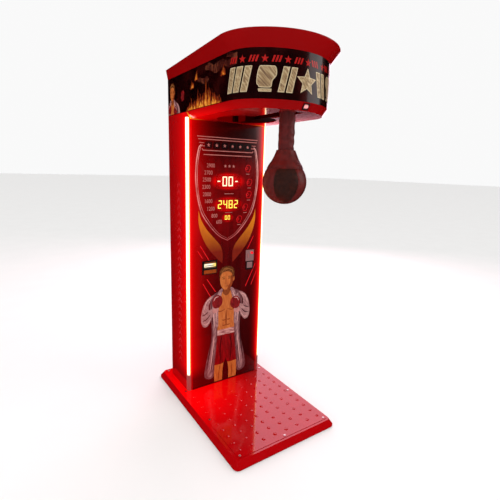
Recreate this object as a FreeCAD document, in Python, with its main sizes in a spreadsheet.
import FreeCAD, Part
import math
import os

from FreeCAD import Placement, Rotation, Vector
import Sketcher

# Boxing punch machine: a leather ball on a swinging arm hangs from a rounded head, in front of a
# lit column that stands on a tread base.  Millimetres, +Z up, front towards -Y, and the origin on
# the floor under the middle of the whole machine.

doc = FreeCAD.newDocument("PunchMachine")
sheet = doc.addObject("Spreadsheet::Sheet", "Dims")


class Size:
    """A length with its present value and the sheet formula behind it."""

    def __init__(self, value, text):
        self.value = float(value)
        self.text = text

    def join(self, other, sign, value):
        return Size(value, "(%s %s %s)" % (self.text, sign, as_size(other).text))

    def __add__(self, other):
        return self.join(other, "+", self.value + as_size(other).value)

    def __sub__(self, other):
        return self.join(other, "-", self.value - as_size(other).value)

    def __mul__(self, other):
        return self.join(other, "*", self.value * as_size(other).value)

    def __truediv__(self, other):
        return self.join(other, "/", self.value / as_size(other).value)

    def __radd__(self, other):
        return as_size(other) + self

    def __rsub__(self, other):
        return as_size(other) - self

    def __rmul__(self, other):
        return as_size(other) * self

    def __neg__(self):
        return self * -1


def as_size(item):
    return item if isinstance(item, Size) else Size(item, repr(float(item)))


# Driving dimensions: name, value and what it measures.
DIMENSIONS = (
    ("base_half", 350.0, "half width of the base"),
    ("base_front", -527.0, "front edge of the base"),
    ("base_rear", 553.0, "rear edge of the base"),
    ("base_top", 46.0, "top of the tread plate"),
    ("skirt_inset", 20.0, "how far the skirt leans in"),
    ("plate_edge", 38.0, "from the side of the base to the tread plate"),
    ("plate_end", 34.0, "from the front or rear of the base to the tread plate"),
    ("plate_thick", 2.5, "tread plate sheet"),
    ("dome_pitch_x", 80.0, "spacing of the tread domes across"),
    ("dome_pitch_y", 62.0, "spacing of the tread domes front to back"),
    ("body_half", 284.0, "half width of column and head"),
    ("column_front", 195.0, "front face of the column"),
    ("column_rear", 465.0, "rear face of the column"),
    ("board", 16.0, "thickness of the cabinet boards"),
    ("tray_low", 1784.0, "flat underside of the head"),
    ("tray_depth", 36.0, "height of the leaning edge under the head"),
    ("band_height", 212.0, "height of the printed head band"),
    ("head_straight", -277.0, "where the straight head sides end"),
    ("head_front", -503.0, "foremost point of the head band"),
    ("corner_radius", 185.0, "plan radius of the head corners"),
    ("tray_inset", 24.0, "how far the head underside steps in"),
    ("rim_flare", 50.0, "how far the rim flares out"),
    ("rim_flare_rear", 12.0, "how far the rim still flares out at its rear ends"),
    ("rim_height", 61.2, "height of the rim above the head band"),
    ("rim_tilt", 0.65, "fall of the rim towards the back, degrees"),
    ("panel_edge", 34.0, "from the side of the column to the printed front panel"),
    ("pivot_back", -371.0, "arm pivot, front to back"),
    ("pivot_rise", 91.0, "height of the arm pivot above the head's underside"),
    ("arm_length", 424.0, "from the arm pivot to the middle of the ball"),
    ("ball_radius", 112.5, "radius of the leather ball"),
    ("sleeve_radius", 41.0, "radius of the arm sleeve"),
    ("shaft_radius", 15.0, "radius of the pivot shaft"),
)
dim = {}
for row, (alias, value, note) in enumerate(DIMENSIONS, start=1):
    sheet.set("A%d" % row, note)
    sheet.set("B%d" % row, str(value))
    sheet.setAlias("B%d" % row, alias)
    dim[alias] = Size(value, "Dims." + alias)
doc.recompute()

nodes = []


def node(label, item):
    """Names a finished piece and lists it for export."""
    item.Label = label
    nodes.append(item)
    return item


def box(x, y, z):
    """A block between the two ends given for each axis."""
    item = doc.addObject("Part::Box", "Block")
    for prop, (low, high) in zip(("Length", "Width", "Height"), (x, y, z)):
        item.setExpression(prop, (as_size(high) - low).text)
    for axis, (low, _) in zip("xyz", (x, y, z)):
        item.setExpression("Placement.Base." + axis, as_size(low).text)
    return item


TURNS = {"z": Rotation(), "x": Rotation(Vector(0, 1, 0), 90), "y": Rotation(Vector(1, 0, 0), -90)}


def rod(axis, centre, radius, span):
    """A round bar along one axis; centre gives its place on the other two, in x, y, z order."""
    item = doc.addObject("Part::Cylinder", "Rod")
    item.setExpression("Radius", as_size(radius).text)
    item.setExpression("Height", (as_size(span[1]) - span[0]).text)
    item.Placement = Placement(Vector(), TURNS[axis])
    others = [name for name in "xyz" if name != axis]
    item.setExpression("Placement.Base." + axis, as_size(span[0]).text)
    for name, place in zip(others, centre):
        item.setExpression("Placement.Base." + name, as_size(place).text)
    return item


def fuse(parts):
    item = doc.addObject("Part::MultiFuse", "Joined")
    item.Shapes = parts
    item.Refine = True
    return item


def cut(body, tools):
    item = doc.addObject("Part::Cut", "Trimmed")
    item.Base = body
    item.Tool = tools[0] if len(tools) == 1 else fuse(tools)
    return item


def group(parts):
    """Several like solids that count as one piece."""
    item = doc.addObject("Part::Compound", "Set")
    item.Links = parts
    return item


def new_body():
    return doc.addObject("PartDesign::Body", "Body")


def new_sketch(body, plane, offset):
    """A sketch parallel to one of the body's own origin planes."""
    item = body.newObject("Sketcher::SketchObject", "Outline")
    for feature in body.Origin.OriginFeatures:
        if feature.Role == plane + "_Plane":
            item.AttachmentSupport = [(feature, "")]
    item.MapMode = "FlatFace"
    item.setExpression("AttachmentOffset.Base.z", as_size(offset).text)
    return item


def pin_point(rules, geometry, point, x, y):
    """Rules that hold one sketch point at x, y."""
    for kind, place, axis in (("DistanceX", as_size(x), -2), ("DistanceY", as_size(y), -1)):
        if abs(place.value) < 1e-6:
            rules.append((Sketcher.Constraint("PointOnObject", geometry, point, axis), None))
        else:
            rule = Sketcher.Constraint(kind, -1, 1, geometry, point, place.value)
            rules.append((rule, place))


def apply_rules(outline, rules):
    first = len(outline.Constraints)
    outline.addConstraint([rule for rule, _ in rules])
    for index, (_, place) in enumerate(rules):
        if place is not None:
            outline.setExpression("Constraints[%d]" % (first + index), place.text)


def draw_polygon(outline, points):
    first = outline.GeometryCount
    places = [Vector(as_size(x).value, as_size(y).value, 0) for x, y in points]
    count = len(places)
    lines = [Part.LineSegment(places[i], places[(i + 1) % count]) for i in range(count)]
    outline.addGeometry(lines, False)
    rules = []
    for i in range(count):
        following = first + (i + 1) % count
        rules.append((Sketcher.Constraint("Coincident", first + i, 2, following, 1), None))
        pin_point(rules, first + i, 1, *points[i])
    apply_rules(outline, rules)


def draw_rectangle(outline, x, y):
    draw_polygon(outline, ((x[0], y[0]), (x[1], y[0]), (x[1], y[1]), (x[0], y[1])))


def draw_circle(outline, x, y, radius):
    first = outline.GeometryCount
    centre = Vector(as_size(x).value, as_size(y).value, 0)
    outline.addGeometry(Part.Circle(centre, Vector(0, 0, 1), as_size(radius).value), False)
    rule = Sketcher.Constraint("Radius", first, as_size(radius).value)
    rules = [(rule, as_size(radius))]
    pin_point(rules, first, 3, x, y)
    apply_rules(outline, rules)


def draw_head(outline, inset, rear, taper=0):
    """The head's plan: two round corners, a wide bowed front and sides that close in by taper."""
    half = dim["body_half"] - inset
    straight = dim["head_straight"]
    depth = dim["head_straight"] - dim["head_front"] - inset
    corner = dim["corner_radius"] - inset
    side = half - corner
    front = (side * side + depth * depth - corner * corner) / ((depth - corner) * 2)
    rear = as_size(rear)
    rear_half = half - taper
    middle = straight - depth + front
    turn = math.atan2(middle.value - straight.value, side.value)
    up = Vector(0, 0, 1)
    centres = (Vector(-side.value, straight.value, 0), Vector(0, middle.value, 0),
               Vector(side.value, straight.value, 0))
    ends = [Vector(x, y, 0) for x, y in (
        (-rear_half.value, rear.value), (-half.value, straight.value),
        (half.value, straight.value), (rear_half.value, rear.value))]

    def arc(centre, radius, start, stop):
        return Part.ArcOfCircle(Part.Circle(centre, up, radius), start, stop)

    outline.addGeometry([
        Part.LineSegment(ends[0], ends[1]),
        arc(centres[0], corner.value, math.pi, math.pi + turn),
        arc(centres[1], front.value, math.pi + turn, 2 * math.pi - turn),
        arc(centres[2], corner.value, 2 * math.pi - turn, 2 * math.pi),
        Part.LineSegment(ends[2], ends[3]),
        Part.LineSegment(ends[3], ends[0]),
    ], False)
    rules = [(Sketcher.Constraint(*rule), None) for rule in (
        ("Coincident", 0, 2, 1, 1), ("Tangent", 1, 2, 2, 1), ("Tangent", 2, 2, 3, 1),
        ("Coincident", 3, 2, 4, 1), ("Coincident", 4, 2, 5, 1), ("Coincident", 5, 2, 0, 1),
        ("Horizontal", 5))]
    pin_point(rules, 0, 1, -rear_half, rear)
    pin_point(rules, 0, 2, -half, straight)
    pin_point(rules, 4, 1, half, straight)
    for rule, place in (
            (("DistanceX", -1, 1, 4, 2), rear_half), (("DistanceY", -1, 1, 1, 3), straight),
            (("DistanceY", -1, 1, 3, 3), straight), (("Radius", 1), corner),
            (("Radius", 3), corner)):
        rules.append((Sketcher.Constraint(*rule, place.value), place))
    apply_rules(outline, rules)


def pad(body, outline, length):
    item = body.newObject("PartDesign::Pad", "Pad")
    item.Profile = outline
    item.setExpression("Length", as_size(length).text)
    body.Tip = item
    doc.recompute()
    return item


def pocket_up(body, outline, depth):
    """Removes material upwards, along the sketch's own normal."""
    before = body.Shape.Volume
    item = body.newObject("PartDesign::Pocket", "Pocket")
    item.Profile = outline
    item.setExpression("Length", as_size(depth).text)
    item.Reversed = True
    body.Tip = item
    doc.recompute()
    if not body.Shape.Volume < before:
        raise RuntimeError("a pocket in %s removed nothing" % body.Label)
    return item


def panel(plane, span, draw):
    """A flat sheet or board: draw fills in its outline and windows, span is its thickness."""
    body = new_body()
    low, high = as_size(span[0]), as_size(span[1])
    outline = new_sketch(body, plane, -high if plane == "XZ" else low)
    draw(outline)
    pad(body, outline, high - low)
    return body


def board(plane, span, x, y, windows=()):
    """A rectangular panel with rectangular windows."""
    def draw(outline):
        draw_rectangle(outline, x, y)
        for window in windows:
            draw_rectangle(outline, *window)
    return panel(plane, span, draw)


def plate(plane, span, points):
    """A panel with a straight-sided outline."""
    return panel(plane, span, lambda outline: draw_polygon(outline, points))


def turned(x, y, points):
    """A turned piece about a vertical line; points are (radius, height)."""
    body = new_body()
    outline = new_sketch(body, "XZ", -as_size(y))
    draw_polygon(outline, points)
    item = body.newObject("PartDesign::Revolution", "Revolution")
    item.Profile = outline
    item.ReferenceAxis = (outline, ["V_Axis"])
    item.Angle = 360
    body.Tip = item
    doc.recompute()
    return body


def loft(body, kind, sketches):
    item = body.newObject("PartDesign::" + kind, kind)
    item.Profile = sketches[0]
    item.Sections = sketches[1:]
    item.Ruled = True
    body.Tip = item
    doc.recompute()
    return item


def mirrored(draw):
    """Calls draw for the left and the right side."""
    return [draw(-1), draw(1)]


def across(side, near, far):
    """The x span between two distances from the middle, low end first."""
    ends = (as_size(near) * side, as_size(far) * side)
    return ends if side > 0 else (ends[1], ends[0])


half = dim["body_half"]
front = dim["column_front"]
rear = dim["column_rear"]
wood = dim["board"]
top = dim["base_top"]
sheet_under = top - dim["plate_thick"]
tray_low = dim["tray_low"]
band_low = tray_low + dim["tray_depth"]
band_high = band_low + dim["band_height"]
pivot_y = dim["pivot_back"]
pivot_z = tray_low + dim["pivot_rise"]

# ---------------------------------------------------------------- base
FOOT_RADIUS = 25.0
FOOT_HEIGHT = 8.0
FOOT_INSET = 80.0
feet = []
for side in (-1, 1):
    for foot_y in (dim["base_front"] + FOOT_INSET, dim["base_rear"] - FOOT_INSET):
        foot_x = (dim["base_half"] - FOOT_INSET) * side
        feet.append(rod("z", (foot_x, foot_y), FOOT_RADIUS, (0, FOOT_HEIGHT)))
node("rubber_feet", group(feet))

FRAME_BAR = 30.0
SKIN = 2.0
plate_half = dim["base_half"] - dim["plate_edge"]
frame_half = plate_half
frame_front = dim["base_front"] + dim["plate_edge"]
frame_rear = dim["base_rear"] - dim["plate_edge"]
bay = (frame_rear - frame_front - FRAME_BAR) / 3
bays = []
for number in range(3):
    bay_start = frame_front + bay * number + FRAME_BAR
    bays.append(((-frame_half + FRAME_BAR, frame_half - FRAME_BAR),
                 (bay_start, bay_start + bay - FRAME_BAR)))
node("base_frame", board("XY", (FOOT_HEIGHT, sheet_under - SKIN), (-frame_half, frame_half),
                         (frame_front, frame_rear), bays))


LIP_LOW = 3.0
LIP_HIGH = 10.0
FLANGE = 38.0


def leaning_block(step, low, high, round_corner):
    """A low block with an upright lip and a face that leans in, step inside the skirt's own."""
    body = new_body()
    wide = dim["base_half"] - step
    climb = (high - LIP_HIGH) / (sheet_under - LIP_HIGH)
    lean_in = dim["skirt_inset"] * climb

    def outline(height, inset):
        item = new_sketch(body, "XY", height)
        draw_rectangle(item, (-wide + inset, wide - inset),
                       (dim["base_front"] + step + inset, dim["base_rear"] - step - inset))
        return item

    pad(body, outline(low, 0), LIP_HIGH - low)
    solid = loft(body, "AdditiveLoft", [outline(LIP_HIGH, 0), outline(high, lean_in)])
    upright = ["Edge%d" % number for number, edge in enumerate(body.Shape.Edges, start=1)
               if edge.BoundBox.ZLength > 5]
    corners = body.newObject("PartDesign::Fillet", "Corners")
    corners.Base = (solid, upright)
    corners.Radius = round_corner
    body.Tip = corners
    doc.recompute()
    return body


# The skirt is pressed sheet: the space under it is the same shape, one sheet thickness smaller.
skirt_out = leaning_block(0, LIP_LOW, sheet_under, 30)
skirt_in = leaning_block(SKIN, LIP_LOW - 1, sheet_under - SKIN, 28)
flange_in = dim["base_half"] - dim["skirt_inset"] - FLANGE
skirt_opening = box((-flange_in, flange_in),
                    (dim["base_front"] + dim["skirt_inset"] + FLANGE,
                     dim["base_rear"] - dim["skirt_inset"] - FLANGE), (sheet_under - 10, sheet_under + 1))
node("base_skirt", cut(skirt_out, [skirt_in, skirt_opening]))


def tread_plate():
    """Sheet-steel plate with rows of low pressed domes in front of the column."""
    dome_radius = 11.0
    dome_rise = 2.6
    dome_edge = 31.5
    first_y = dim["base_front"] + 84
    pairs = int((plate_half.value - dome_edge) / dim["dome_pitch_x"].value + 0.5)
    columns = 2 * pairs
    room = (front - 60 - first_y).value
    rows = 1 + int(room / dim["dome_pitch_y"].value)
    body = board("XY", (sheet_under, top), (-plate_half, plate_half),
                 (dim["base_front"] + dim["plate_end"], dim["base_rear"] - dim["plate_end"]))
    first_x = dim["dome_pitch_x"] * (0.5 - pairs)
    ball = (dome_radius ** 2 + dome_rise ** 2) / (2 * dome_rise)
    dome_side = new_sketch(body, "XZ", -first_y)
    centre = Vector(first_x.value, top.value + dome_rise - ball, 0)
    low = Vector(first_x.value, top.value - 1, 0)
    foot = Vector(first_x.value + dome_radius, top.value - 1, 0)
    edge = Vector(first_x.value + dome_radius, top.value, 0)
    crown = Vector(first_x.value, top.value + dome_rise, 0)
    lean = math.atan2(edge.y - centre.y, edge.x - centre.x)
    arch = Part.ArcOfCircle(Part.Circle(centre, Vector(0, 0, 1), ball), lean, math.pi / 2)
    dome_side.addGeometry([Part.LineSegment(crown, low), Part.LineSegment(low, foot),
                           Part.LineSegment(foot, edge), arch], False)
    rules = [(Sketcher.Constraint(*rule), None) for rule in (
        ("Coincident", 0, 2, 1, 1), ("Coincident", 1, 2, 2, 1), ("Coincident", 2, 2, 3, 1),
        ("Coincident", 3, 2, 0, 1), ("PointOnObject", 3, 3, 0))]
    pin_point(rules, 0, 1, first_x, top + dome_rise)
    pin_point(rules, 0, 2, first_x, top - 1)
    pin_point(rules, 1, 2, first_x + dome_radius, top - 1)
    pin_point(rules, 2, 2, first_x + dome_radius, top)
    apply_rules(dome_side, rules)
    dome = body.newObject("PartDesign::Revolution", "Dome")
    dome.Profile = dome_side
    dome.ReferenceAxis = (dome_side, ["Edge1"])
    dome.Angle = 360
    body.Tip = dome
    doc.recompute()
    axes = {feature.Role: feature for feature in body.Origin.OriginFeatures}
    spread = body.newObject("PartDesign::MultiTransform", "DomeGrid")
    steps = []
    for axis, count, pitch in (("X_Axis", columns, dim["dome_pitch_x"]),
                               ("Y_Axis", rows, dim["dome_pitch_y"])):
        step = body.newObject("PartDesign::LinearPattern", "Step")
        step.Direction = (axes[axis], [""])
        step.Occurrences = count
        step.setExpression("Length", (pitch * (count - 1)).text)
        steps.append(step)
    spread.Originals = [dome]
    spread.Transformations = steps
    body.Tip = spread
    doc.recompute()
    return body


node("tread_plate", tread_plate())

SCREW_HEAD = 6.5
SCREW_RISE = 2.5
SCREW_EDGE = 14.0
screw_front = dim["base_front"] + 48
screw_rear = dim["base_rear"] - 48
screws = []
for side in (-1, 1):
    screw_x = (plate_half - SCREW_EDGE) * side
    for screw_y in (screw_front, screw_front + 340, screw_front + 680, screw_rear):
        screws.append(rod("z", (screw_x, screw_y), SCREW_HEAD, (top, top + SCREW_RISE)))
for screw_y in (screw_front, screw_rear):
    screws.append(rod("z", (0, screw_y), SCREW_HEAD, (top, top + SCREW_RISE)))

# ---------------------------------------------------------------- column
CORNER = 22.0
led_top = tray_low + 8
LED_START = 165.0
PRINT = 4.0
FACE = 14.0
GAP = 0.3
inner = half - wood
corner_rear = front + CORNER + 2
panel_back = front + PRINT
face_back = panel_back + FACE
rear_inner = rear - wood

for side, label in ((-1, "left"), (1, "right")):
    node("side_panel_" + label, box(across(side, inner, half), (corner_rear, rear),
                                    (top, band_low)))

# The front carries windows for the three displays, the note reader and the coin mechanism.
HIGH_DISPLAY = ((-88.0, 92.0), (1390.0, 1470.0))
SCORE_DISPLAY = ((-77.0, 93.0), (1250.0, 1320.0))
CREDIT_DISPLAY = ((-25.0, 29.0), (1178.0, 1221.0))
print_half = half - dim["panel_edge"]
note_x = 120 - print_half
coin_x = print_half - 71
NOTE_WINDOW = ((note_x - 39, note_x + 39), (851.0, 919.0))
COIN_WINDOW = ((coin_x - 24, coin_x + 24), (898.0, 965.0))
RETURN_WINDOW = ((coin_x - 26.4, coin_x + 26.4), (839.6, 890.4))
windows = (HIGH_DISPLAY, SCORE_DISPLAY, CREDIT_DISPLAY, NOTE_WINDOW, COIN_WINDOW, RETURN_WINDOW)
node("front_panel", board("XZ", (front, panel_back), (-print_half, print_half),
                          (top + 6, tray_low), windows))

face_half = half - CORNER
face_board = board("XZ", (panel_back, face_back), (-face_half, face_half), (top, tray_low), windows)
strips = mirrored(lambda side: box(across(side, print_half + GAP, face_half), (front, panel_back),
                                   (top, tray_low)))
node("face_frame", fuse([face_board] + strips))

TRIM_HEIGHT = 5.6
node("foot_trim", box((-print_half, print_half), (front - 3, panel_back), (top, top + TRIM_HEIGHT)))

WRAP = 4.0
BEVEL = 11.0
diffusers = []
channels = []
led_strips = []
caps = []
for side in (-1, 1):
    outer = half * side
    first = face_half * side

    def from_corner(step):
        return outer - step * side

    diffuser = (
        (first, front), (from_corner(BEVEL), front), (outer, front + BEVEL), (outer, corner_rear),
        (from_corner(WRAP), corner_rear), (from_corner(WRAP), front + BEVEL + 1.7),
        (from_corner(BEVEL + 1.7), front + WRAP), (first, front + WRAP))
    if side < 0:
        diffuser = tuple(reversed(diffuser))
    diffusers.append(plate("XY", (top, led_top), diffuser))
    rail_z = (top + wood, led_top)
    rail_side = box(across(side, face_half, face_half + 2), (front + WRAP, corner_rear), rail_z)
    rail_back = box(across(side, face_half, half - WRAP), (corner_rear - 2, corner_rear), rail_z)
    channels.append(fuse([rail_side, rail_back]))
    led_strips.append(box(across(side, face_half + 2, face_half + 4), (front + 7, front + 19),
                          (LED_START, led_top - 4)))
    cap = [(first, front), (from_corner(BEVEL), front), (outer, front + BEVEL),
           (outer, corner_rear), (first, corner_rear)]
    if side < 0:
        cap.reverse()
    caps.append(plate("XY", (led_top, band_low), cap))
node("led_diffusers", group(diffusers))
node("led_channels", group(channels))
node("led_strips", group(led_strips))
node("corner_caps", group(caps))

DOOR = ((-187.0, 187.0), (123.0, 1157.0))
DOOR_GAP = 3.0
doorway = ((DOOR[0][0] - DOOR_GAP, DOOR[0][1] + DOOR_GAP), (DOOR[1][0] - DOOR_GAP, DOOR[1][1] + DOOR_GAP))
INLET = ((126.0, 174.0), (72.0, 100.0))
VENT_ROWS = 7
SPEAKER_Z = 1560.0
vents = []
for number in range(VENT_ROWS):
    vent_z = 1260.0 + 18 * number
    vents.append(((-90.0, 90.0), (vent_z, vent_z + 7)))
for number in range(5):
    vent_z = SPEAKER_Z - 36 + 16 * number
    vents.append(((-38.0, 38.0), (vent_z, vent_z + 6)))
node("rear_panel", board("XZ", (rear_inner, rear), (-inner, inner), (top + wood, band_low),
                         [doorway, INLET] + vents))
node("column_floor", box((-inner, inner), (face_back, rear), (top, top + wood)))

POST = 25.0
TUBE = 2.0
post_out = face_half
ring_low = tray_low + 3 - POST
tubes = []
hollows = []
for side in (-1, 1):
    for post_front in (face_back, rear_inner - POST):
        post_x = across(side, post_out - POST, post_out)
        tubes.append(box(post_x, (post_front, post_front + POST), (top + wood, tray_low + 3)))
        hollow_x = across(side, post_out - POST + TUBE, post_out - TUBE)
        hollows.append(box(hollow_x, (post_front + TUBE, post_front + POST - TUBE),
                           (top + wood - 1, ring_low)))
    tubes.append(box(across(side, post_out - POST, inner), (face_back + POST, rear_inner - POST),
                     (ring_low, tray_low + 3)))
for ring_front in (face_back, rear_inner - POST):
    tubes.append(box((-post_out + POST, post_out - POST), (ring_front, ring_front + POST),
                     (ring_low, tray_low + 3)))
node("column_frame", cut(fuse(tubes), hollows))

# ---------------------------------------------------------------- rear door, its hinges and lock
LOCK = (150.0, 640.0)
node("service_door", cut(board("XZ", (rear_inner, rear), *DOOR),
                         [rod("y", LOCK, 9.8, (rear_inner - 1, rear + 1))]))
HINGE_X = DOOR[0][0] - DOOR_GAP - 1.5
HINGE_OUT = 7.0
KNUCKLE = 6.0
hinge_y = rear + HINGE_OUT
frame_leaves = []
door_leaves = []
for hinge_z in (300.0, 980.0):
    low, middle, high = hinge_z - 40, hinge_z, hinge_z + 40
    leaf_y = (rear, rear + 2.5)
    frame_leaf = fuse([
        box((HINGE_X - 34, HINGE_X - 7), leaf_y, (low, high)),
        box((HINGE_X - 7, HINGE_X), leaf_y, (low, middle - 1)),
        rod("z", (HINGE_X, hinge_y), KNUCKLE, (low, middle - 1))])
    frame_leaves.append(fuse([frame_leaf, rod("z", (HINGE_X, hinge_y), 2.5, (low, high))]))
    door_leaf = fuse([
        box((HINGE_X + 7, HINGE_X + 34), leaf_y, (low, high)),
        box((HINGE_X, HINGE_X + 7), leaf_y, (middle, high)),
        rod("z", (HINGE_X, hinge_y), KNUCKLE, (middle, high))])
    door_leaves.append(cut(door_leaf, [rod("z", (HINGE_X, hinge_y), 2.55, (middle - 1, high + 1))]))
node("hinge_frame_leaves", group(frame_leaves))
node("hinge_door_leaves", group(door_leaves))
barrel = fuse([rod("y", LOCK, 9.5, (rear_inner - 4, rear + 3)), rod("y", LOCK, 13, (rear, rear + 3))])
node("lock_barrel", cut(barrel, [rod("y", LOCK, 5.55, (rear_inner - 5, rear + 4))]))
keyhole = box((LOCK[0] - 0.7, LOCK[0] + 0.7), (rear + 1, rear + 4), (LOCK[1] - 3, LOCK[1] + 3))
plug = cut(rod("y", LOCK, 5.5, (rear_inner - 8, rear + 3.4)), [keyhole])
cam = box((LOCK[0] - 8, LOCK[0] + 8), (rear_inner - 8, rear_inner - 5), (LOCK[1] - 45, LOCK[1] + 8))
node("lock_cam", fuse([plug, cam]))

# ---------------------------------------------------------------- displays
SEGMENTS = {"0": "abcdef", "2": "abged", "4": "fgbc", "8": "abcdefg", "-": "g"}


def seven_segment(window, text, margin, width, height, pitch, stroke):
    """Lit bars of a row of seven-segment figures, standing a millimetre off their module."""
    bars = []
    left = window[0][0] + 8
    low = window[1][0] + margin
    for place, figure in enumerate(text):
        x0 = left + pitch * place
        x1 = x0 + width
        z_mid = low + height / 2
        z_high = low + height
        spot = {
            "a": ((x0 + stroke, x1 - stroke), (z_high - stroke, z_high)),
            "d": ((x0 + stroke, x1 - stroke), (low, low + stroke)),
            "g": ((x0 + stroke, x1 - stroke), (z_mid - stroke / 2, z_mid + stroke / 2)),
            "b": ((x1 - stroke, x1), (z_mid + 0.4, z_high - 0.4)),
            "c": ((x1 - stroke, x1), (low + 0.4, z_mid - 0.4)),
            "e": ((x0, x0 + stroke), (low + 0.4, z_mid - 0.4)),
            "f": ((x0, x0 + stroke), (z_mid + 0.4, z_high - 0.4)),
        }
        for letter in SEGMENTS[figure]:
            x, z = spot[letter]
            clear = 0.3 if letter in "adg" else 0
            bars.append(box((x[0] + clear, x[1] - clear), (panel_back + 1, panel_back + 2), z))
    return bars


lenses = []
figures_lit = []
modules = []
for window, figures in (
        (HIGH_DISPLAY, ("-00-", 10.0, 32.0, 60.0, 43.0, 6.5)),
        (SCORE_DISPLAY, ("2482", 9.0, 28.0, 52.0, 39.5, 5.5)),
        (CREDIT_DISPLAY, ("00", 8.0, 15.5, 27.0, 21.5, 3.2))):
    (x0, x1), (z0, z1) = window
    lens_x = (x0 + 0.2, x1 - 0.2)
    lens_z = (z0 + 0.2, z1 - 0.2)
    lenses.append(box(lens_x, (front + 0.3, front + 2.3), lens_z))
    figures_lit.extend(seven_segment(window, *figures))
    modules.append(box(lens_x, (panel_back + 2, face_back + 18), lens_z))
node("display_lenses", group(lenses))
node("display_digits", group(figures_lit))
node("display_modules", group(modules))

# ---------------------------------------------------------------- note reader and coin mechanism
NOTE_BEZEL = ((note_x - 53, note_x + 53), (839.0, 929.0))
MOUTH = ((note_x - 43, note_x + 43), (881.0, 915.0))
bezel_front = front - 12
slab = board("XZ", (bezel_front, front), *NOTE_BEZEL, windows=[MOUTH])
slab_pad = slab.Tip
outer_edges = []
for number, edge in enumerate(slab.Shape.Edges, start=1):
    reach = edge.BoundBox
    outside = (reach.ZMin > NOTE_BEZEL[1][1] - 5 or reach.ZMax < NOTE_BEZEL[1][0] + 5
               or reach.XMax < NOTE_BEZEL[0][0].value + 5 or reach.XMin > NOTE_BEZEL[0][1].value - 5)
    if reach.YMax < bezel_front.value + 0.1 and outside:
        outer_edges.append("Edge%d" % number)
soft_edge = slab.newObject("PartDesign::Chamfer", "SoftEdge")
soft_edge.Base = (slab_pad, outer_edges)
soft_edge.Size = 4
slab.Tip = soft_edge
node("note_bezel", slab)
mouth = box((MOUTH[0][0] + 0.2, MOUTH[0][1] - 0.2), (bezel_front + 3, front),
            (MOUTH[1][0] + 0.2, MOUTH[1][1] - 0.2))
NOTE_GAP = (893.0, 900.0)
note_width = (note_x - 36, note_x + 36)
note_slot = box(note_width, (bezel_front, front + 1), NOTE_GAP)
node("note_mouth", cut(mouth, [note_slot]))
reader = box((NOTE_WINDOW[0][0] + 1, NOTE_WINDOW[0][1] - 1), (front, face_back + 110),
             (NOTE_WINDOW[1][0] + 1, NOTE_WINDOW[1][1] - 1))
stacker = box((NOTE_WINDOW[0][0] - 6, NOTE_WINDOW[0][1] + 6), (face_back, face_back + 90), (920, 1080))
note_path = box(note_width, (front - 1, front + 40), NOTE_GAP)
node("note_reader", cut(fuse([reader, stacker]), [note_path]))

PLATE_FRONT = 4.0
BUTTON = (coin_x + 15, 950.0)
coin_hole = box((coin_x - 19, coin_x - 14), (front - 9, front + 1), (916, 946))
plate_front = front - PLATE_FRONT
plate_x = (coin_x - 31, coin_x + 31)
node("coin_faceplate", cut(box(plate_x, (plate_front, front), (894, 970)), [
    coin_hole, rod("y", BUTTON, 8.4, (plate_front - 1, front + 1))]))
node("coin_reject_button", fuse([rod("y", BUTTON, 8.0, (front - 11, front + 8)),
                                 rod("y", BUTTON, 5.0, (front + 8, front + 12))]))
coin_body = box((coin_x - 29, coin_x + 29), (face_back, face_back + 84), (894, 1010))
CASH_HIGH = 290.0
CHUTE = ((coin_x - 16, coin_x + 16), (face_back + 44, face_back + 76))
chute_out = box(CHUTE[0], CHUTE[1], (CASH_HIGH + 12, 895))
chute_in = box((CHUTE[0][0] + 2, CHUTE[0][1] - 2), (CHUTE[1][0] + 2, CHUTE[1][1] - 2),
               (CASH_HIGH + 11, 894))
node("coin_mechanism", cut(fuse([coin_body, chute_out]), [chute_in]))

CUP = ((coin_x - 26, coin_x + 26), (840.0, 890.0))
cup_shell = box(CUP[0], (front, front + 46), CUP[1])
cup_flange = box(plate_x, (plate_front, front), (834, 893.6))
cup_space = box((CUP[0][0] + 3, CUP[0][1] - 3), (plate_front - 1, front + 43),
                (CUP[1][0] + 3, CUP[1][1] - 3))
node("coin_return_cup", cut(fuse([cup_shell, cup_flange]), [cup_space]))
FLAP_AXIS_Z = 883.0
flap_y = plate_front + 2.5
flap_x = (CUP[0][0] + 4, CUP[0][1] - 4)
flap = box(flap_x, (flap_y - 1.2, flap_y + 1.2), (CUP[1][0] + 4.5, FLAP_AXIS_Z))
node("coin_return_flap", fuse([flap, rod("x", (flap_y, FLAP_AXIS_Z), 2.2, flap_x)]))

CASH = ((inner - 208, inner - 36), (face_back + 40, rear_inner - POST - 4), (top + wood, CASH_HIGH))
cash_out = box(*CASH)
cash_in = box((CASH[0][0] + 2, CASH[0][1] - 2), (CASH[1][0] + 2, CASH[1][1] - 2),
              (top + wood + 2, CASH_HIGH + 1))
node("cash_box", cut(cash_out, [cash_in]))

# ---------------------------------------------------------------- electrics
node("power_supply", box((48 - inner, 158 - inner), (rear_inner - 186, rear_inner - 36),
                         (top + wood, top + wood + 58)))
card_front = (face_back + rear_inner) / 2 - 70
card = [box((-inner + 8, -inner + 10), (card_front, card_front + 140), (700, 880))]
for card_y in (card_front + 8, card_front + 132):
    for card_z in (708, 872):
        card.append(rod("x", (card_y, card_z), 4, (-inner, -inner + 8)))
for step_y, step_z, wide, tall in ((14, 720, 34, 34), (66, 730, 22, 60), (16, 790, 60, 18),
                                   (92, 800, 30, 46), (16, 830, 44, 26)):
    card.append(box((-inner + 10, -inner + 18), (card_front + step_y, card_front + step_y + wide),
                    (step_z, step_z + tall)))
node("controller_board", fuse(card))
speaker = fuse([rod("y", (0, SPEAKER_Z), 50, (rear_inner - 8, rear_inner)),
                rod("y", (0, SPEAKER_Z), 34, (rear_inner - 34, rear_inner - 8))])
node("speaker", speaker)
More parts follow.
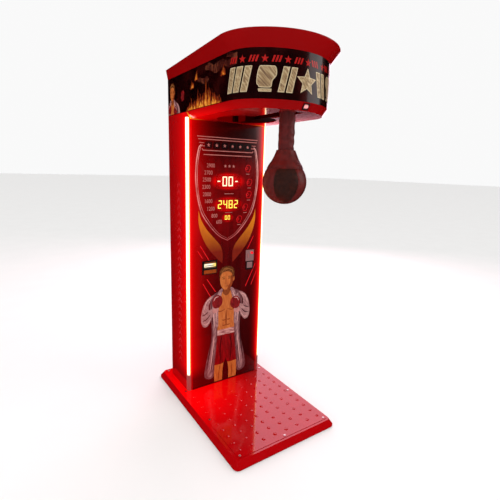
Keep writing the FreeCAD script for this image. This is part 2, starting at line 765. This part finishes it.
inlet_x, inlet_z = INLET
inlet_flange = box((inlet_x[0] - 6, inlet_x[1] + 6), (rear, rear + 2.5),
                   (inlet_z[0] - 4, inlet_z[1] + 4))
inlet_body = box((inlet_x[0] + 0.5, inlet_x[1] - 0.5), (rear_inner - 10, rear),
                 (inlet_z[0] + 0.5, inlet_z[1] - 0.5))
inlet_well = box((inlet_x[0] + 8, inlet_x[1] - 8), (rear - 14, rear + 3),
                 (inlet_z[0] + 5, inlet_z[1] - 5))
blades = [box((x - 1, x + 1), (rear - 15, rear - 3), (inlet_z[0] + 11, inlet_z[1] - 11))
          for x in (inlet_x[0] + 16, inlet_x[0] + 24, inlet_x[0] + 32)]
node("mains_inlet", fuse([cut(fuse([inlet_flange, inlet_body]), [inlet_well])] + blades))

# ---------------------------------------------------------------- head shell
TRAY_WALL = 3.0
BALL_OPENING = (170.0, 197.0)
SLOT = (-52.0, 52.0)


def tray():
    """Red underside of the head: flat floor, leaning edge, ball opening and arm slot."""
    body = new_body()
    low = new_sketch(body, "XY", tray_low)
    draw_head(low, dim["tray_inset"], front)
    high = new_sketch(body, "XY", band_low)
    draw_head(high, 0, front)
    loft(body, "AdditiveLoft", [low, high])
    low_in = new_sketch(body, "XY", tray_low + TRAY_WALL)
    draw_head(low_in, dim["tray_inset"] + 1.5, front + 1)
    high_in = new_sketch(body, "XY", band_low)
    draw_head(high_in, 3.6, front + 1)
    loft(body, "SubtractiveLoft", [low_in, high_in])
    opening = new_sketch(body, "XY", tray_low - 1)
    draw_circle(opening, 0, front - BALL_OPENING[1], BALL_OPENING[0])
    pocket_up(body, opening, 6)
    slot = new_sketch(body, "XY", tray_low - 1)
    draw_rectangle(slot, SLOT, (pivot_y - 64, front - 300))
    pocket_up(body, slot, 6)
    return body


# The rocker switch sits on the leaning front edge of the tray.
lean = math.degrees(math.atan2(band_low.value - tray_low.value, dim["tray_inset"].value))
SWITCH_X = 10.0


def on_lean(item):
    """Moves a piece drawn about its own middle on to the leaning front edge."""
    item.Placement = Placement(Vector(SWITCH_X, 0, 0), Rotation(Vector(1, 0, 0), 180 - lean))
    item.setExpression("Placement.Base.y", (dim["head_front"] + dim["tray_inset"] / 2).text)
    item.setExpression("Placement.Base.z", ((band_low + tray_low) / 2).text)
    return item


ROCKER = 11.0
ROCKER_DEEP = -7.0
tray_hole = on_lean(fuse([box((-14, 14), (-13, 13), (-12, 6)), box((-13, 13), (-12, 12), (-13, -11))]))
node("head_tray", cut(tray(), [tray_hole]))
bezel_block = fuse([box((-18.5, 18.5), (-16, 16), (0.8, 3.4)), box((-13.5, 13.5), (-12.5, 12.5), (-24, 0.8))])
node("switch_bezel", on_lean(cut(bezel_block, [
    box((-12.3, 12.3), (-11.4, 11.4), (ROCKER_DEEP, 4)),
    rod("x", (0, ROCKER_DEEP), ROCKER + 0.4, (-12.3, 12.3))])))
node("switch_rocker", on_lean(cut(rod("x", (0, ROCKER_DEEP), ROCKER, (-12, 12)), [
    box((-13, 13), (-12, 12), (ROCKER_DEEP - 12, ROCKER_DEEP))])))

BAND = 4.0


def band():
    """Printed sheet wrapped round the head, open at the back."""
    body = new_body()
    outer = new_sketch(body, "XY", band_low)
    draw_head(outer, 0, rear)
    pad(body, outer, band_high - band_low)
    inside = new_sketch(body, "XY", band_low - 1)
    draw_head(inside, BAND, rear + 2)
    pocket_up(body, inside, band_high - band_low + 2)
    return body


node("head_band", band())
node("head_rear_panel", box((-half + BAND, half - BAND), (rear_inner, rear),
                            (band_low, band_high)))

TOP_BOARD = 10.0
node("head_top_board", panel(
    "XY", (band_high - TOP_BOARD, band_high),
    lambda outline: draw_head(outline, BAND + 0.3, rear_inner - 0.3)))


def rim():
    """Red flared rim round the top of the head, falling a little towards the back."""
    body = new_body()
    low = band_high
    flare = dim["rim_flare"]
    taper = flare - dim["rim_flare_rear"]

    def tilted(inset, reach):
        item = new_sketch(body, "XY", low + dim["rim_height"])
        offset = Placement(Vector(0, 0, low.value + dim["rim_height"].value),
                           Rotation(Vector(-1, 0, 0), dim["rim_tilt"].value))
        item.AttachmentOffset = offset
        item.setExpression("AttachmentOffset.Rotation.Angle", dim["rim_tilt"].text)
        draw_head(item, inset, reach, taper)
        return item

    bottom = new_sketch(body, "XY", low)
    draw_head(bottom, 0, rear)
    loft(body, "AdditiveLoft", [bottom, tilted(-flare, rear)])
    bottom_in = new_sketch(body, "XY", low)
    draw_head(bottom_in, 16, rear - 16)
    ring = loft(body, "SubtractiveLoft", [bottom_in, tilted(14 - flare, rear - 14)])
    high = [number for number, edge in enumerate(body.Shape.Edges, start=1)
            if edge.BoundBox.ZMin > low.value + 30]
    soft = body.newObject("PartDesign::Fillet", "SoftEdge")
    soft.Base = (ring, ["Edge%d" % number for number in high])
    soft.Radius = 3
    body.Tip = soft
    doc.recompute()
    return body


node("head_rim", rim())
COVER = 3.0
cover_low = band_high
node("top_cover", panel("XY", (cover_low, cover_low + COVER),
                        lambda outline: draw_head(outline, 17, rear - 17)))
cover_screws = [(0, rear - 35), (0, dim["head_front"] + 48)]
for side in (-1, 1):
    for screw_y in (rear - 35, rear - 385, dim["head_straight"] + 27):
        cover_screws.append(((half - 44) * side, screw_y))
for screw_x, screw_y in cover_screws:
    screws.append(rod("z", (screw_x, screw_y), SCREW_HEAD,
                      (cover_low + COVER, cover_low + COVER + SCREW_RISE)))
node("panel_screws", group(screws))

# ---------------------------------------------------------------- head frame and arm bearings
rail_in = half - 109
RAIL = 30.0
rail_low = tray_low + TRAY_WALL
rail_top = rail_low + RAIL
board_low = band_high - TOP_BOARD
cross = (pivot_y + 54, pivot_y + 84)
cross_low = band_high - 47
cross_high = cross_low + 20
rails = []
for side in (-1, 1):
    rail_x = across(side, rail_in, rail_in + RAIL)
    rails.append(box(rail_x, (pivot_y - 16, rear_inner), (rail_low, rail_top)))
    rails.append(box(rail_x, cross, (rail_low, board_low)))
    rails.append(box(rail_x, (rear_inner - RAIL, rear_inner), (rail_low, board_low)))
rails.append(box((-rail_in, rail_in), cross, (cross_low, cross_high)))
# Welded to the cross bar: the bracket over the stop bumper and the cheek with the latch pin.
BUMPER_LOW = pivot_z + 24
bumper_y = pivot_y + 46
rails.append(box((-15, 15), (bumper_y - 14, cross[0] + 10), (BUMPER_LOW + 16, BUMPER_LOW + 22)))
rails.append(box((-15, 15), (cross[0], cross[0] + 10), (BUMPER_LOW + 16, cross_low)))
hook_y = pivot_y + 54
hook_z = cross_low - 25
rails.append(box((46.5, 51.5), (hook_y - 14, cross[1]), (hook_z - 18, cross_low)))
rails.append(rod("x", (hook_y, hook_z), 4, (38, 51.5)))
node("head_frame", fuse(rails))

BRIDGE = 8.0
bridge_top = rail_top + BRIDGE
bridge_front = pivot_y - 52
slot_front = pivot_y - 44
bridge_rear = pivot_y + 52
bridge_half = rail_in + 25
node("bearing_bridge", plate("XY", (rail_top, bridge_top), (
    (-bridge_half, bridge_front), (bridge_half, bridge_front), (bridge_half, bridge_rear),
    (SLOT[1], bridge_rear), (SLOT[1], slot_front), (SLOT[0], slot_front), (SLOT[0], bridge_rear),
    (-bridge_half, bridge_rear))))

shaft = dim["shaft_radius"]
blocks = []
for side in (-1, 1):
    block_x = across(side, 72, 102)
    parts = [box(block_x, (pivot_y - 40, pivot_y + 40), (bridge_top, bridge_top + 20)),
             box(block_x, (pivot_y - 26, pivot_y + 26), (bridge_top, pivot_z)),
             rod("x", (pivot_y, pivot_z), 26, block_x)]
    for bolt_y in (pivot_y - 33, pivot_y + 33):
        parts.append(rod("z", (87 * side, bolt_y), 6, (bridge_top + 19, bridge_top + 25)))
    bearing = rod("x", (pivot_y, pivot_z), shaft + 0.05, (block_x[0] - 1, block_x[1] + 1))
    blocks.append(cut(fuse(parts), [bearing]))
node("bearing_blocks", group(blocks))

# ---------------------------------------------------------------- swinging arm and ball
collars = [rod("x", (pivot_y, pivot_z), 22, across(side, 103, 111)) for side in (-1, 1)]
node("pivot_shaft", fuse([rod("x", (pivot_y, pivot_z), shaft, (-112, 112))] + collars))

TUBE_RADIUS = 17.0
socket_low = pivot_z - 75
tube_top = pivot_z - 25
ball_z = pivot_z - dim["arm_length"]
tube_low = ball_z + 19
hub = fuse([rod("x", (pivot_y, pivot_z), 32, (-32, 38)), rod("z", (0, pivot_y), 24, (socket_low, pivot_z))])
tube = rod("z", (0, pivot_y), TUBE_RADIUS, (tube_low, pivot_z))
node("swing_arm", cut(fuse([hub, tube]), [
    rod("x", (pivot_y, pivot_z), shaft + 0.02, (-33, 39)),
    rod("z", (0, pivot_y), TUBE_RADIUS - 3, (tube_low + 4, tube_top))]))
CATCH = (39.0, 45.0)
catch_plate = fuse([rod("x", (pivot_y, pivot_z), 45, CATCH),
                    box(CATCH, (pivot_y, pivot_y + 78), (pivot_z, pivot_z + 12))])
spacer = rod("x", (pivot_y, pivot_z), 24, (38, CATCH[0]))
node("catch_plate", cut(fuse([catch_plate, spacer]),
                        [rod("x", (pivot_y, pivot_z), shaft + 0.02, (37, CATCH[1] + 1))]))

ball_r = dim["ball_radius"]
sleeve_r = dim["sleeve_radius"]
sphere = doc.addObject("Part::Sphere", "Ball")
sphere.setExpression("Radius", ball_r.text)
sphere.setExpression("Placement.Base.y", pivot_y.text)
sphere.setExpression("Placement.Base.z", ball_z.text)
node("strike_ball", cut(sphere, [rod("z", (0, pivot_y), TUBE_RADIUS + 0.3, (tube_low, ball_z + ball_r + 1))]))
collar_blank = turned(0, pivot_y, (
    (sleeve_r + 0.4, ball_z + 66), (ball_r - 20.5, ball_z + 66), (ball_r - 30, ball_z + 84),
    (ball_r - 44.5, ball_z + 104), (ball_r - 59, ball_z + 132), (ball_r - 66, ball_z + 154),
    (sleeve_r + 0.4, ball_z + 154)))
clearance = doc.addObject("Part::Sphere", "BallSpace")
clearance.setExpression("Radius", (ball_r + 0.5).text)
clearance.setExpression("Placement.Base.y", pivot_y.text)
clearance.setExpression("Placement.Base.z", ball_z.text)
node("ball_collar", cut(collar_blank, [clearance]))
node("arm_sleeve", cut(rod("z", (0, pivot_y), sleeve_r, (ball_z + ball_r + 3, socket_low - 1)),
                       [rod("z", (0, pivot_y), TUBE_RADIUS + 0.3, (ball_z + ball_r, socket_low))]))

# ---------------------------------------------------------------- stop, angle sensor and latch
node("stop_bumper", rod("z", (0, bumper_y), 12, (BUMPER_LOW, BUMPER_LOW + 16)))
fork = box((30, 54), (bridge_front, pivot_y - 38), (bridge_top, pivot_z + 15))
fork_gap = box((37, 47), (bridge_front + 4, pivot_y - 37), (bridge_top + 10, pivot_z + 16))
fork_foot = box((29, 55), (slot_front, pivot_y - 37), (bridge_top - 1, bridge_top + 10))
node("angle_sensor", cut(fork, [fork_gap, fork_foot]))

HOOK_OUTLINE = ((52, -5), (52, 5), (-47, 8), (-47, -4), (-38, -4), (-35, 1), (-11, 0), (-7, -8),
                (7, -8), (11, -5))


def draw_hook(outline):
    draw_polygon(outline, [(hook_y + y, hook_z + z) for y, z in HOOK_OUTLINE])
    draw_circle(outline, hook_y, hook_z, 4.05)


node("latch_hook", panel("YZ", CATCH, draw_hook))
plunger_y = hook_y + 45
coil = box((26, 58), (cross[1], cross[1] + 37), (cross_low + 1, cross_low + 33))
node("latch_solenoid", cut(coil, [rod("z", (42, plunger_y), 4.05, (cross_low, cross_low + 32))]))
node("latch_plunger", rod("z", (42, plunger_y), 4, (hook_z + 7.5, hook_z + 40)))

# ---------------------------------------------------------------- checks and export
doc.recompute()
for item in doc.Objects:
    if "Invalid" in item.State or "Error" in item.State:
        raise RuntimeError("%s (%s) did not build" % (item.Label, item.Name))
os.makedirs("parts", exist_ok=True)
for item in nodes:
    shape = item.Shape
    if shape.isNull() or not shape.isValid() or not shape.Solids:
        raise RuntimeError("%s has no sound solid" % item.Label)
    shape.exportStep("parts/%s.step" % item.Label)
    print("%-22s solids %3d  volume %12.0f" % (item.Label, len(shape.Solids), shape.Volume))
print("nodes", len(nodes))
